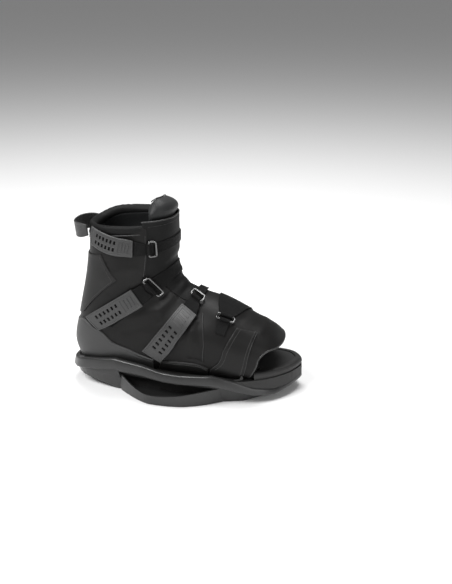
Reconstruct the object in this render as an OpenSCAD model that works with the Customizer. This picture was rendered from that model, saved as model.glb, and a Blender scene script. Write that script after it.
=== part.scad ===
// Open-toe wakeboard boot on its moulded chassis, right foot.
// +X toe, +Y inner side, -Y outer side, +Z up. Origin between the two stance
// screws, on the plane of the board.

/* [Chassis] */
// Distance between the two stance screws
stance_w = 152.4; // [150:0.1:155]
// Radius of the hole for a stance screw
screw_hole_r = 3.3; // [3.1:0.1:3.6]
// Half width of a wing at its foot
wing_half_w = 85; // [84:1:86]
// How far a wing's lip leans outwards
wing_flare = 5; // [2:1:6]
// Thickness of the chassis floor
floor_t = 5; // [4:0.5:7]
// Thickness of the side rail
rail_t = 5; // [4:0.5:6]
// Length of a stance slot
slot_l = 26; // [24:1:28]
// Width of a stance slot
slot_w = 7.6; // [7.4:0.1:8]
/* [Sole] */
// Height of the top of the toe pad
pad_top = 44; // [42:1:46]
// Height of the groove round the toe pad
groove_z = 34; // [32:1:36]
// Depth of that groove
groove_d = 1.6; // [1:0.2:3]
// Height where the upper meets the sole
upper_z = 34.2; // [34:0.1:35]
/* [Upper] */
// Thickness of the outer shell
shell_t = 2.4; // [2:0.2:3]
// Thickness of the padded lining
liner_t = 7; // [5:0.5:9]
// Thickness of the sewn overlays
overlay_t = 1.4; // [1:0.1:2]
/* [Straps] */
// Radius of the wire in the strap rings
wire_r = 1.4; // [1.2:0.1:1.6]
// Height of the ring wire over the skin
ring_h = 6.2; // [6:0.1:7]
// Thickness of the strap webbing
web_t = 1.4; // [1.2:0.1:1.6]
// Thickness of the moulded end plates
plate_t = 2; // [1.5:0.1:2.5]
/* [Heel loop] */
// Width of the loop's band
loop_w = 22; // [18:1:26]
// Thickness of the loop's band
loop_t = 2.4; // [2:0.2:3]

/* [Hidden] */
gap = 0.4;
wing_t = 2.2;
washer_l = 24;
washer_w = 10;
washer_t = 3.4;
key_l = 10;
grip_t = 1.6;
// Heights of the sewn overlays over the skin
lay1 = shell_t / 2 + 0.3;
lay2 = lay1 + overlay_t;
sole_top = 33;
foot_taper = 10;
taper_z = 24;
run_clear = 0.06;
// Radius of the round corners of the rings
corner_r = wire_r + 0.9;
$fn = 48;

// Sections of the skin, from the toe opening round the instep to the collar:
// front x z, back x z, outer and inner half width, centre y, squareness front, back
SECTIONS = [
    [152, 74, 158, 30, 44, 38, 6, 2.6, 3.2],
    [136, 92, 138, 28, 50, 46, 3, 2.4, 3.4],
    [112, 107, 104, 28, 54, 50, 0, 2.2, 3.4],
    [70, 130, 52, 28, 56, 50, -2, 2.1, 3.2],
    [40, 139, 0, 28, 54, 48, -1, 2.1, 3.0],
    [20, 148, -64, 26, 49, 45, 0, 2.1, 2.8],
    [8, 160, -124, 26, 46, 44, 0, 2.2, 2.6],
    [0, 172, -145, 56, 48, 46, 0, 2.2, 2.5],
    [-3, 183, -139, 100, 50, 48, 0, 2.3, 2.4],
    [-2, 198, -129, 145, 51, 49, 0, 2.4, 2.4],
    [-1, 212, -123, 180, 51, 49, 0, 2.4, 2.4],
    [-1, 228, -120, 212, 51, 49, 0, 2.4, 2.4],
    [-1, 243, -118, 236, 50, 48, 0, 2.4, 2.4]];
SPANS = len(SECTIONS) - 1;

function curve4(a, b, c, d, f) =
    0.5 * (2 * b + (c - a) * f + (2 * a - 5 * b + 4 * c - d) * f * f
        + (3 * b - a - 3 * c + d) * f * f * f);
function section(s) =
    let (g = max(0, min(1, s)) * SPANS, i = min(floor(g), SPANS - 1))
    curve4(SECTIONS[max(i - 1, 0)], SECTIONS[i], SECTIONS[i + 1],
        SECTIONS[min(i + 2, SPANS)], g - i);
function spow(v, p) = sign(v) * pow(abs(v), p);
// A point of the skin: s runs from toe to collar, t is 0 at the front, 90 on the
// outer side, 180 at the sole or heel, and negative on the inner side
function skin_in(s, t) =
    let (k = section(s), p = 2 / (cos(t) >= 0 ? k[7] : k[8]),
        q = spow(cos(t), p), w = spow(sin(t), p))
    [(k[0] + k[2]) / 2 + q * (k[0] - k[2]) / 2,
     k[6] - w * (w >= 0 ? k[4] : k[5]),
     (k[1] + k[3]) / 2 + q * (k[1] - k[3]) / 2];
function skin(s, t) = s <= 1 ? skin_in(s, t)
    : skin_in(1, t) + (s - 1) * SPANS * (skin_in(1, t) - skin_in(1 - 1 / SPANS, t));
function unit(v) = v / norm(v);
function normal_at(s, t) =
    unit(cross(skin(s + 0.004, t) - skin(max(s - 0.004, 0), t), skin(s, t + 1) - skin(s, t - 1)));
function over(s, t, h) = skin(s, t) + h * normal_at(s, t);
// The angle at which a section meets the height z
function meets(s, z) =
    let (k = section(s), q = (2 * z - k[1] - k[3]) / (k[1] - k[3]))
    q <= -1 ? 179.7 : min(179.7, acos(spow(q, (q >= 0 ? k[7] : k[8]) / 2)));
function sole_edge(s) = meets(s, upper_z);
// The same for an overlay, whose outer face leans in under the foot
function overlay_edge(s) = meets(s, upper_z + 2.4);
// n + 1 points along a smooth line through the given ones
function trace(pts, n) = let (m = len(pts) - 1) [for (i = [0:n])
    let (g = i / n * m, j = min(floor(g), m - 1))
    curve4(pts[max(j - 1, 0)], pts[j], pts[j + 1], pts[min(j + 2, m)], g - j)];
function straight(a, b, n) = [for (i = [0:n]) a + (b - a) * i / n];
function flip_t(pts) = [for (p = pts) [p[0], -p[1]]];
function backwards(v) = [for (i = [len(v) - 1:-1:0]) v[i]];
// n points along each side of an outline with sharp corners
function corners(pts, n) = concat([for (i = [0:len(pts) - 2]) for (j = [0:n - 1])
    pts[i] + (pts[i + 1] - pts[i]) * j / n], [pts[len(pts) - 1]]);

// A closed sheet over the skin between two edges, m cells across, from height h0 to h1,
// which gain lean towards the second edge; the outer face swells by bulge at its middle
module sheet(a, b, m, h0, h1, lean = 0, bulge = 0) {
    n = len(a) - 1;
    w = m + 1;
    k = (n + 1) * w;
    pts = [for (h = [h0, h1]) for (i = [0:n]) for (j = [0:m])
        let (p = a[i] + (b[i] - a[i]) * j / m, swell = h == h1 ? bulge : 0)
            over(p[0], p[1], h + lean * pow(j / m, 1.5) + swell * sin(180 * j / m) * sin(180 * i / n))];
    c = k + floor(n / 2) * w + floor(m / 2);
    st = (a[floor(n / 2)] + b[floor(n / 2)]) / 2;
    out = cross(pts[c + w] - pts[c], pts[c + 1] - pts[c]) * normal_at(st[0], st[1]) > 0;
    top = [for (i = [0:n - 1]) for (j = [0:m - 1]) for (f = [
        [k + i * w + j, k + (i + 1) * w + j, k + i * w + j + 1],
        [k + (i + 1) * w + j, k + (i + 1) * w + j + 1, k + i * w + j + 1]]) f];
    bottom = [for (f = top) [f[2] - k, f[1] - k, f[0] - k]];
    rim = concat([for (j = [0:m]) j], [for (i = [1:n]) i * w + m],
        [for (j = [m - 1:-1:0]) n * w + j], [for (i = [n - 1:-1:1]) i * w]);
    r = len(rim);
    sides = [for (i = [0:r - 1]) for (f = [
        [rim[i], rim[i] + k, rim[(i + 1) % r]],
        [rim[i] + k, rim[(i + 1) % r] + k, rim[(i + 1) % r]]]) f];
    faces = concat(top, bottom, sides);
    polyhedron(pts, [for (f = faces) out ? [f[2], f[1], f[0]] : f], convexity = 8);
}

// A straight round bar between two points
module bar(a, b, r) {
    d = b - a;
    translate(a)
        rotate([0, acos(d[2] / norm(d)), atan2(d[1], d[0])])
            cylinder(r = r, h = norm(d));
}

// Places a piece on the skin, its z along the outward normal, its x along the strap
module on_skin(s, t, h, s2, t2) {
    n = normal_at(s, t);
    o = over(s, t, h);
    y = unit(cross(n, over(s2, t2, h) - o));
    x = cross(y, n);
    multmatrix([[x[0], y[0], n[0], o[0]], [x[1], y[1], n[1], o[1]],
        [x[2], y[2], n[2], o[2]], [0, 0, 0, 1]])
        children();
}

// ---- Sole ----

RAIL = [[-151, 0], [-148, -18], [-134, -36], [-108, -47], [-78, -54], [-37, -60], [-7, -64],
    [20, -66], [64, -66], [99, -57], [122, -47], [143, -32], [162, -9], [172, 14], [174, 27],
    [169, 38], [160, 48], [146, 54], [124, 57], [99, 59], [64, 61], [20, 60], [-7, 58],
    [-37, 56], [-78, 51], [-108, 45], [-134, 35], [-148, 18]];
function ring_curve(pts, n) = let (m = len(pts)) [for (i = [0:m - 1]) for (f = [0:n - 1])
    curve4(pts[(i + m - 1) % m], pts[i], pts[(i + 1) % m], pts[(i + 2) % m], f / n)];
function inset(pts, d) = let (m = len(pts)) [for (i = [0:m - 1])
    let (v = unit(pts[(i + 1) % m] - pts[(i + m - 1) % m])) pts[i] + d * [-v[1], v[0]]];
OUTLINE = ring_curve(RAIL, 3);

// The chassis seen from the side: its top line, then its bottom line
TOP_LINE = [[-156, 31], [-140, 36], [-128, 41], [-78, 49], [-37, 45], [-7, 39], [20, 38], [64, 41],
    [78, 38], [95, 33], [120, 22], [146, 16], [160, 17], [180, 21]];
// The underside of the heel, which clears the board
HEEL_LINE = [[-76, 0], [-92, 4.5], [-118, 10], [-140, 14], [-156, 18]];
function over_heel(h) = [for (p = HEEL_LINE) [p[0], p[1] + h]];
function over_floor(h) = concat([[95, h], [95, 60], [-170, 60], [-170, 18 + h]],
    backwards(over_heel(h)));
TOE_LINE = [[180, 17], [162, 13], [146, 9], [122, 4], [104, 0]];
WINDOW = [[-72, 31], [-37, 29], [-2, 25], [66, 24], [60, 5], [-58, 5], [-66, 14]];

module side_cut(pts) {
    translate([0, 120, 0])
        rotate([90, 0, 0])
            linear_extrude(240) polygon(pts);
}

module wing_outline(grow, side) {
    mirror([0, side > 0 ? 1 : 0])
        polygon(trace([[-82 - grow, -28], [-76 - grow, -42], [-57, -60 - grow], [-36, -76 - grow],
            [-16, -wing_half_w - grow], [20, -wing_half_w - grow], [46, -76 - grow],
            [69 + grow, -61 - grow], [84 + grow, -46], [88 + grow, -28]], 36));
}

module wing_solid(grow, z0, z1, side) {
    hull() {
        translate([0, 0, z0]) linear_extrude(0.1) wing_outline(grow, side);
        translate([0, 0, z1 - 0.1]) linear_extrude(0.1) wing_outline(grow + wing_flare, side);
    }
}

module slot_hole(side, len, wid, z0, z1) {
    for (x = [-1, 1])
        translate([x * (len - wid) / 2, side * stance_w / 2, z0])
            cylinder(d = wid, h = z1 - z0);
    translate([-(len - wid) / 2, side * stance_w / 2 - wid / 2, z0])
        cube([len - wid, wid, z1 - z0]);
}

SCREWS = [[-60, -30], [-60, 30], [72, -28], [72, 28]];

module chassis() {
    color("#4a4a4c")
        difference() {
            union() {
                difference() {
                    intersection() {
                        hull() {
                            linear_extrude(0.1) polygon(inset(OUTLINE, foot_taper));
                            translate([0, 0, taper_z]) linear_extrude(60) polygon(OUTLINE);
                        }
                        side_cut(concat(TOP_LINE, TOE_LINE, HEEL_LINE));
                    }
                    intersection() {
                        translate([0, 0, floor_t])
                            linear_extrude(taper_z - floor_t + 0.01)
                                polygon(inset(OUTLINE, foot_taper + 3));
                        side_cut(over_floor(floor_t));
                    }
                    intersection() {
                        translate([0, 0, taper_z])
                            linear_extrude(60) polygon(inset(OUTLINE, rail_t));
                        side_cut([[-160, 0], [96, 0], [96, 60], [-160, 60]]);
                    }
                    for (y = [-100, 38])
                        intersection() {
                            translate([-150, y, 0]) cube([300, 62, 60]);
                            side_cut(WINDOW);
                        }
                }
                for (side = [-1, 1])
                    intersection() {
                        difference() {
                            wing_solid(0, 0, 26, side);
                            translate([0, 0, floor_t]) wing_solid(-wing_t, 0, 26, side);
                            translate([-100, -48, -1]) cube([200, 96, 60]);
                        }
                        side_cut(concat([[-96, 0]], trace([[-96, 34], [-78, 31], [-58, 23], [-34, 15.5],
                            [-8, 14], [20, 16.5], [46, 20], [70, 23], [96, 24]], 32), [[96, 0]]));
                    }
            }
            for (side = [-1, 1])
                slot_hole(side, slot_l, slot_w, -1, floor_t + 1);
            grip_plates(0.2, -1, grip_t);
            for (p = SCREWS) {
                translate([p[0], p[1], -1]) cylinder(r = 2.7, h = 20);
                translate([p[0], p[1], -1]) cylinder(r = 5.2, h = 3.6);
            }
        }
}

GRIPS = [[-48, 22, 44], [28, 22, 72]];
module grip_plates(grow, z0, z1) {
    for (p = GRIPS)
        translate([p[0] - p[1] - grow, -p[2] / 2 - grow, z0])
            cube([2 * (p[1] + grow), p[2] + 2 * grow, z1 - z0]);
}

module sole_grips() {
    color("#222222") grip_plates(0, 0, grip_t - 0.1);
}

module sole_screws() {
    color("silver")
        for (p = SCREWS)
            translate([p[0], p[1], 0.4]) {
                cylinder(r = 5, h = 2);
                cylinder(r = 2.5, h = 18);
            }
}

// The plan of the upper where it stands on the sole, grown by d
function foot_plan(z, d, s0) = let (n = 18, v = [for (i = [0:n])
    let (s = s0 + (0.525 - s0) * i / n, t = meets(s, z)) over(s, t, d)])
    concat([for (p = backwards(v)) [p[0], p[1]]], [for (i = [0:n])
        let (s = s0 + (0.525 - s0) * i / n, p = over(s, -meets(s, z), d)) [p[0], p[1]]]);
// Height and inset of the rounded rim of the toe pad
PAD_RIM = [[groove_z + 1, 0.8], [groove_z + 2.4, 0.1], [pad_top - 4.5, 0], [pad_top - 2.4, 0.7],
    [pad_top - 1, 1.8], [pad_top - 0.1, 3.6]];
PAD_SIDE = [[94, 33.6], [120, 22.2], [146, 16.2], [160, 17.2], [180, 21.2],
    [180, 60], [112, 60], [102, 37], [94, 35.6]];
REAR_SIDE = [[-160, 0], [95, 0], [95, 60], [-160, 60]];

module midsole() {
    color("#444346")
        difference() {
            union() {
                // Platform inside the rail, on which the upper stands
                intersection() {
                    translate([0, 0, taper_z + 0.2])
                        linear_extrude(sole_top - taper_z - 0.2)
                            polygon(inset(OUTLINE, rail_t + 2 * gap));
                    side_cut(REAR_SIDE);
                }
                intersection() {
                    linear_extrude(taper_z + 2) polygon(inset(OUTLINE, foot_taper + 8));
                    side_cut(over_floor(floor_t + 0.1));
                }
                // Toe pad with its groove
                intersection() {
                    union() {
                        linear_extrude(groove_z - 1) polygon(OUTLINE);
                        linear_extrude(groove_z + 1) polygon(inset(OUTLINE, groove_d));
                        hull()
                            for (p = PAD_RIM)
                                translate([0, 0, p[0]]) linear_extrude(0.1) polygon(inset(OUTLINE, p[1]));
                    }
                    side_cut(PAD_SIDE);
                }
            }
            // Room for the upper and seat for the footbed
            translate([0, 0, sole_top])
                linear_extrude(20) polygon(foot_plan(pad_top, lay2 + 0.8, 0.135));
            intersection() {
                translate([0, 0, sole_top]) linear_extrude(20) polygon(inset(OUTLINE, 9));
                side_cut([[90, 0], [200, 0], [200, 60], [90, 60]]);
            }
            for (p = SCREWS)
                translate([p[0], p[1], -1]) cylinder(r = 2.7, h = 21);
        }
}

module footbed() {
    color("#232323")
        difference() {
            union() {
                translate([0, 0, sole_top])
                    linear_extrude(20) polygon(foot_plan(sole_top + 1, -5.5, 0.135));
                intersection() {
                    translate([0, 0, sole_top]) linear_extrude(20) polygon(inset(OUTLINE, 9 + 2 * gap));
                    side_cut([[124, 0], [200, 0], [200, 60], [124, 60]]);
                }
                // Between the upper's front corners
                intersection() {
                    translate([0, 0, sole_top]) linear_extrude(20) polygon(inset(OUTLINE, 20));
                    side_cut([[100, 0], [130, 0], [130, 60], [100, 60]]);
                }
            }
            side_cut([[-160, 38], [80, 38], [112, pad_top - 1], [200, pad_top - 1], [200, 70],
                [-160, 70]]);
        }
}

// ---- Upper ----

// The edge of the toe opening, from the sole on the outer side to the inner side
TOE_EDGE = [[0.16, 146], [0.12, 88], [0.045, 45], [0.012, 12], [0.015, -12], [0.05, -45],
    [0.11, -88], [0.15, -146]];
// A sleeve all the way round above height z, between two values of s
module sleeve(s0, s1, n, m, h0, h1, z) {
    edge = [for (i = [0:n]) let (s = s0 + (s1 - s0) * i / n) [s, meets(s, z)]];
    sheet(edge, flip_t(edge), m, h0, h1);
}

module liner() {
    color("#2c2b2f")
        sleeve(0.26, 0.99, 24, 32, -shell_t / 2 - liner_t, -shell_t / 2 - 3 * gap, pad_top + 1);
}

module quarter(side, h0, h1) {
    front = trace([[0.33, 34], [0.45, 34], [0.6, 36], [0.8, 40], [1, 46]], 28);
    lower = [for (p = front) [p[0], sole_edge(p[0])]];
    if (side < 0)
        sheet(lower, front, 18, h0, h1);
    else
        sheet(flip_t(front), flip_t(lower), 18, h0, h1);
}

module quarter_lateral() {
    color("#262426") quarter(-1, -shell_t / 2, shell_t / 2);
}

module quarter_medial() {
    color("#262426") quarter(1, -shell_t / 2, shell_t / 2);
}

module vamp() {
    n = 32;
    toe = trace(TOE_EDGE, n);
    rear = [for (i = [0:n]) let (t = sole_edge(0.32) * (1 - 2 * i / n)) [0.32, t]];
    toe_fit = [for (p = toe) [p[0], max(-sole_edge(p[0]), min(sole_edge(p[0]), p[1]))]];
    color("#29272a") sheet(toe_fit, rear, 8, -shell_t / 2, shell_t / 2);
}

GUSSET_EDGE = trace([[0.33, 31.6], [0.45, 31.6], [0.6, 33.6], [0.8, 37.6], [0.99, 43.2]], 24);

module gusset() {
    color("#201f21")
        sheet(GUSSET_EDGE, flip_t(GUSSET_EDGE), 8, -shell_t / 2, 0.4);
}

module front_wrap() {
    outer = trace([[0.55, 50], [0.7, 56], [0.8, 60], [0.9, 61], [0.99, 63], [1.03, 78]], 12);
    inner = trace([[0.52, -60], [0.66, -78], [0.78, -84], [0.9, -86], [0.99, -86],
        [1.03, -78]], 12);
    color("#2a282b") sheet(outer, inner, 14, shell_t / 2 + 0.3, shell_t / 2 + 0.3 + overlay_t);
}

function to_sole(pts) = [for (p = pts) [p[0], min(p[1], overlay_edge(p[0]))]];

module toe_band() {
    rear = trace([[0.2, 44], [0.212, 74], [0.223, 98], [0.238, 113], [0.244, 140]], 12);
    front = trace([[0.142, 34], [0.15, 60], [0.158, 90], [0.166, 118], [0.172, 140]], 12);
    color("#2e2c2f") sheet(to_sole(rear), to_sole(front), 4, lay1, lay2);
}

module side_panel() {
    upper = trace([[0.246, 114], [0.27, 109], [0.31, 111], [0.362, 115.5]], 9);
    lower = [for (p = upper) [p[0], overlay_edge(p[0])]];
    color("#2b292c") sheet(upper, lower, 3, lay1, lay2);
}

module inner_panel() {
    upper = trace([[0.17, -118], [0.2, -104], [0.225, -96], [0.27, -108], [0.362, -118]], 12);
    lower = [for (p = upper) [p[0], -overlay_edge(p[0])]];
    color("#2e2c2f") sheet(upper, lower, 4, lay1, lay2);
}

module heel_counter() {
    half = [[0.379, 116], [0.42, 111], [0.455, 106], [0.5, 104], [0.575, 108], [0.645, 133],
        [0.65, 160]];
    base = [0.372, 0.4, 0.43, 0.46, 0.49, 0.512, 0.53];
    n = 44;
    upper = trace(concat(half, [[0.652, 180]], [for (i = [6:-1:0]) [half[i][0], 360 - half[i][1]]]), n);
    foot = trace(concat(base, [0.541], [for (i = [6:-1:0]) base[i]]), n);
    lower = [for (i = [0:n]) [foot[i], i <= n / 2 ? overlay_edge(foot[i])
        : 360 - overlay_edge(foot[i])]];
    color("#5a595a") sheet(upper, lower, 14, lay1 + 0.4, lay2 + 0.4);
}

module counter_rivet() {
    color("silver")
        on_skin(0.43, -122, lay2 + 0.7, 0.5, -122)
            cylinder(r = 4, h = 1.2);
}

module spine(side) {
    front = corners([[0.665, 138], [0.736, 92], [0.865, 117]], 8);
    rear = [for (p = front) [p[0], 178.5]];
    if (side < 0)
        sheet(front, rear, 8, lay1, lay2);
    else
        sheet(flip_t(front), flip_t(rear), 8, lay1, lay2);
}

module spine_lateral() {
    color("#3d3b3d") spine(-1);
}

module spine_medial() {
    color("#3d3b3d") spine(1);
}

module collar_band() {
    from_t = 66;
    low = [for (i = [0:16]) [0.984, from_t + (272 - from_t) * i / 16]];
    high = [for (p = low) [1.006, p[1]]];
    color("#3a383b") sheet(low, high, 2, lay1, lay2);
}

// ---- Tongue ----

tongue_h = -shell_t / 2 - liner_t - 0.9;
tongue_t = 6;

module tongue() {
    color("#262529")
        sheet(trace([[0.4, 30], [0.7, 38], [1, 60]], 16), trace([[0.4, -30], [0.7, -38], [1, -60]], 16),
            10, tongue_h - tongue_t, tongue_h);
}

module tongue_top() {
    low = [for (i = [0:14]) [1.003, 60 - 120 * i / 14]];
    high = [for (p = low) [1.03 + 0.15 * pow(cos(p[1] * 1.4), 0.7), p[1] * 0.95]];
    color("#4b494d") sheet(low, high, 8, tongue_h - tongue_t, tongue_h, -2, 9);
}

module tongue_label() {
    color("#d8d8d8")
        sheet(straight([0.955, 12], [0.955, -12], 4), straight([0.985, 11], [0.985, -11], 4),
            2, tongue_h - tongue_t - 0.9, tongue_h - tongue_t - 0.3);
}

// ---- Heel loop ----

loop_root = [-116, 0, 228];
function loop_edge(r) = [for (a = [0:7.5:180])
    [-(27 + r) * pow(sin(a), 0.75), -(35 + r) * spow(cos(a), 0.8)]];

module heel_loop() {
    color("#6a6868")
        translate(loop_root)
            rotate([0, -7, 0])
                translate([0, 0, -loop_w / 2])
                    linear_extrude(loop_w)
                        polygon(concat(loop_edge(loop_t / 2), backwards(loop_edge(-loop_t / 2))));
}

module loop_anchors() {
    for (side = [-1, 1]) {
        a = straight([0.925, 139 * -side], [0.925, 153 * -side], 3);
        b = straight([0.975, 139 * -side], [0.975, 153 * -side], 3);
        color("#4a4849") sheet(a, b, 2, lay1, lay2);
    }
}

// ---- Stance washers ----

module washer(side) {
    y = side * stance_w / 2;
    color("#333335")
        difference() {
            union() {
                translate([-washer_l / 2, y - washer_w / 2, floor_t + 0.1])
                    cube([washer_l, washer_w, washer_t]);
                slot_hole(side, key_l, slot_w - 2 * run_clear, 0.4, floor_t + 1.4);
            }
            translate([0, y, -1]) cylinder(r = screw_hole_r, h = 20);
        }
}

module washer_lateral() {
    washer(-1);
}

module washer_medial() {
    washer(1);
}

// ---- Straps ----
// Each strap: ring corners front high, front low, rear high, rear low; end plate
// corners in the same order; and the sewn end of the under-strap, high and low
TOP = [[0.897, 50], [0.803, 48], [0.905, 59.5], [0.811, 58],
    [0.922, 79], [0.834, 79], [0.993, 134], [0.908, 134], [0.97, 136], [0.892, 136]];
MID = [[0.685, 56], [0.512, 43], [0.681, 63], [0.518, 50],
    [0.668, 76], [0.538, 67], [0.648, 127], [0.576, 107], [0.64, 114], [0.552, 96]];
INSTEP = [[0.38, 13], [0.318, 18], [0.384, 22.5], [0.317, 28.5],
    [0.389, 42], [0.315, 50], [0.415, 104], [0.362, 116], [0.412, 107], [0.366, 118]];

function mix(a, b, f) = a + (b - a) * f;
function bar_end(p, h) = over(p[0], p[1], h);

// A forged ring: four straight sides that run into round corners
module wire_ring(c, h) {
    p = [bar_end(c[0], h), bar_end(c[1], h), bar_end(c[3], h), bar_end(c[2], h)];
    middle = (p[0] + p[1] + p[2] + p[3]) / 4;
    n = unit(cross(p[2] - p[0], p[3] - p[1]));
    color("silver")
        for (i = [0:3]) {
            y = unit(cross(n, p[i] - middle));
            x = cross(y, n);
            bar(p[i], p[(i + 1) % 4], wire_r);
            multmatrix([[x[0], y[0], n[0], p[i][0]], [x[1], y[1], n[1], p[i][1]],
                [x[2], y[2], n[2], p[i][2]], [0, 0, 0, 1]])
                sphere(r = corner_r, $fn = 24);
        }
}

// A sewn loop round one bar of a ring
module bar_loop(a, b, h) {
    p = bar_end(a, h);
    q = bar_end(b, h);
    difference() {
        bar(mix(p, q, 0.14), mix(p, q, 0.86), wire_r + run_clear + web_t);
        bar(p, q, wire_r + run_clear);
    }
}

// The clip under the front bar of a ring, open over the bar, and its sewn base
module ring_tab(c, ends, n, h) {
    m = mix(c[0], c[1], 0.5);
    under_bar = h - wire_r - run_clear + 0.1;
    color("#222123")
        union() {
            difference() {
                bar_loop(c[0], c[1], h);
                on_skin(m[0], m[1], h + 0.2, c[0][0], c[0][1])
                    translate([-40, -8, 0]) cube([80, 16, 8]);
            }
            sheet(straight(mix(c[0], c[1], 0.16), ends[0], n),
                straight(mix(c[0], c[1], 0.84), ends[1], n), 3,
                under_bar - web_t, under_bar - 0.2);
        }
}

web_low = lay2 + 0.5;
web_high = web_low + web_t;

module strap_web(c) {
    hi = mix(c[2], c[3], 0.16);
    lo = mix(c[2], c[3], 0.84);
    color("#1f1e20")
        union() {
            bar_loop(c[2], c[3], ring_h);
            sheet(straight(hi + [0, 1.7], mix(c[6], c[7], 0.08), 12),
                straight(lo + [0, 1.7], mix(c[6], c[7], 0.92), 12),
                3, web_low, web_high);
        }
}

module perforated_plate(c) {
    h0 = web_high + 0.2;
    color("#5d5b5c")
        difference() {
            sheet(straight(c[4], c[6], 12), straight(c[5], c[7], 12), 4, h0, h0 + plate_t);
            for (row = [0.33, 0.67])
                for (i = [0:5]) {
                    f = 0.4 + 0.085 * i;
                    at = mix(mix(c[4], c[6], f), mix(c[5], c[7], f), row);
                    up = mix(c[4], c[6], f);
                    on_skin(at[0], at[1], h0 - 1, up[0], up[1])
                        translate([-2.8, -1.2, 0]) cube([5.6, 2.4, plate_t + 2]);
                }
        }
}

module under_strap(c) {
    hi = mix(c[2], c[3], 0.16) + [0, 2];
    lo = mix(c[2], c[3], 0.84) + [0, 2];
    color("#201f21") sheet(straight(hi, c[8], 8), straight(lo, c[9], 8), 3, lay1, lay2);
}

module top_tab() { ring_tab(TOP, [[0.886, -70], [0.812, -70]], 26, ring_h); }
module top_ring() { wire_ring(TOP, ring_h); }
module top_strap() { strap_web(TOP); }
module top_plate() { perforated_plate(TOP); }
module top_under() { under_strap(TOP); }
module mid_tab() { ring_tab(MID, [[0.66, -50], [0.565, -46]], 22, ring_h); }
module mid_ring() { wire_ring(MID, ring_h); }
module mid_strap() { strap_web(MID); }
module mid_plate() { perforated_plate(MID); }
module mid_under() { under_strap(MID); }
module instep_tab() { ring_tab(INSTEP, [[0.37, -22], [0.328, -19]], 8, ring_h); }
module instep_ring() { wire_ring(INSTEP, ring_h); }
module instep_strap() { strap_web(INSTEP); }
module instep_plate() { perforated_plate(INSTEP); }
module instep_under() { under_strap(INSTEP); }

// The toe strap comes over from the inner side and ends in a ring with a long bar
TOE = [[0.253, 36], [0.211, 33], [0.254, 44], [0.212, 41]];
toe_h = 4.8;

module toe_ring() { wire_ring(TOE, toe_h); }

module toe_tab() {
    color("#222123")
        union() {
            bar_loop(TOE[2], TOE[3], toe_h);
            sheet(straight(mix(TOE[2], TOE[3], 0.16), [0.246, 66], 6),
                straight(mix(TOE[2], TOE[3], 0.84), [0.222, 66], 6), 2, lay1 + 0.2, lay1 + 0.1 + web_t);
        }
}

module toe_strap() {
    color("#2c2a2d")
        union() {
            bar_loop(TOE[0], TOE[1], toe_h);
            sheet(straight(mix(TOE[0], TOE[1], 0.16), [0.262, -76], 20),
                straight(mix(TOE[0], TOE[1], 0.84), [0.204, -76], 20), 3, lay1 + 0.2, lay1 + 0.1 + web_t);
        }
}

chassis();
sole_grips();
sole_screws();
midsole();
footbed();
liner();
quarter_lateral();
quarter_medial();
vamp();
gusset();
toe_band();
inner_panel();
side_panel();
heel_counter();
counter_rivet();
spine_lateral();
spine_medial();
front_wrap();
collar_band();
tongue();
tongue_top();
tongue_label();
heel_loop();
loop_anchors();
washer_lateral();
washer_medial();
top_tab();
top_ring();
top_strap();
top_plate();
top_under();
mid_tab();
mid_ring();
mid_strap();
mid_plate();
mid_under();
instep_tab();
instep_ring();
instep_strap();
instep_plate();
instep_under();
toe_tab();
toe_ring();
toe_strap();
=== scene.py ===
import math

import bpy
import numpy as np
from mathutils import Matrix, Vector


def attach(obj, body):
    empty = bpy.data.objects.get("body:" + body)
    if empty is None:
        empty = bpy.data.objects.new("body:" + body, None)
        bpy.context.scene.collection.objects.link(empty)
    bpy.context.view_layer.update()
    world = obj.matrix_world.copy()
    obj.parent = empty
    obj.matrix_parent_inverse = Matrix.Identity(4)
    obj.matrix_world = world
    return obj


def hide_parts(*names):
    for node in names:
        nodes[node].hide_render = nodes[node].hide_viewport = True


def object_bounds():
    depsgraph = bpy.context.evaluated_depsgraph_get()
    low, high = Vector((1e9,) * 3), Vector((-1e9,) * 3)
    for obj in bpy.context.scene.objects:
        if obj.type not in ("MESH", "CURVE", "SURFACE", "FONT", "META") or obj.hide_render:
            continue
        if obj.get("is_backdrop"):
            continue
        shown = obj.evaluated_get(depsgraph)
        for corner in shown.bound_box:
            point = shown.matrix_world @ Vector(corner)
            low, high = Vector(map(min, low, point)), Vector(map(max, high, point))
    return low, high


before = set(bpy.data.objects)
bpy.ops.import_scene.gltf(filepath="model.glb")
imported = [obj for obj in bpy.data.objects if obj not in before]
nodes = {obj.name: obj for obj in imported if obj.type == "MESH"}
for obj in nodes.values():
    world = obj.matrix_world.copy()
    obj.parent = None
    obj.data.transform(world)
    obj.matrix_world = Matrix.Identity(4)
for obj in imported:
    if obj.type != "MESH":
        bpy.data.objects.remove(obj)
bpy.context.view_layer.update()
scene = bpy.context.scene

# ---- The boot surface, in millimetres, as in the CAD ----

# front x z, back x z, outer and inner half width, centre y, squareness front, back
SECTIONS = np.array([
    [152, 74, 158, 30, 44, 38, 6, 2.6, 3.2],
    [136, 92, 138, 28, 50, 46, 3, 2.4, 3.4],
    [112, 107, 104, 28, 54, 50, 0, 2.2, 3.4],
    [70, 130, 52, 28, 56, 50, -2, 2.1, 3.2],
    [40, 139, 0, 28, 54, 48, -1, 2.1, 3.0],
    [20, 148, -64, 26, 49, 45, 0, 2.1, 2.8],
    [8, 160, -124, 26, 46, 44, 0, 2.2, 2.6],
    [0, 172, -145, 56, 48, 46, 0, 2.2, 2.5],
    [-3, 183, -139, 100, 50, 48, 0, 2.3, 2.4],
    [-2, 198, -129, 145, 51, 49, 0, 2.4, 2.4],
    [-1, 212, -123, 180, 51, 49, 0, 2.4, 2.4],
    [-1, 228, -120, 212, 51, 49, 0, 2.4, 2.4],
    [-1, 243, -118, 236, 50, 48, 0, 2.4, 2.4]], float)
SPANS = len(SECTIONS) - 1
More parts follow.
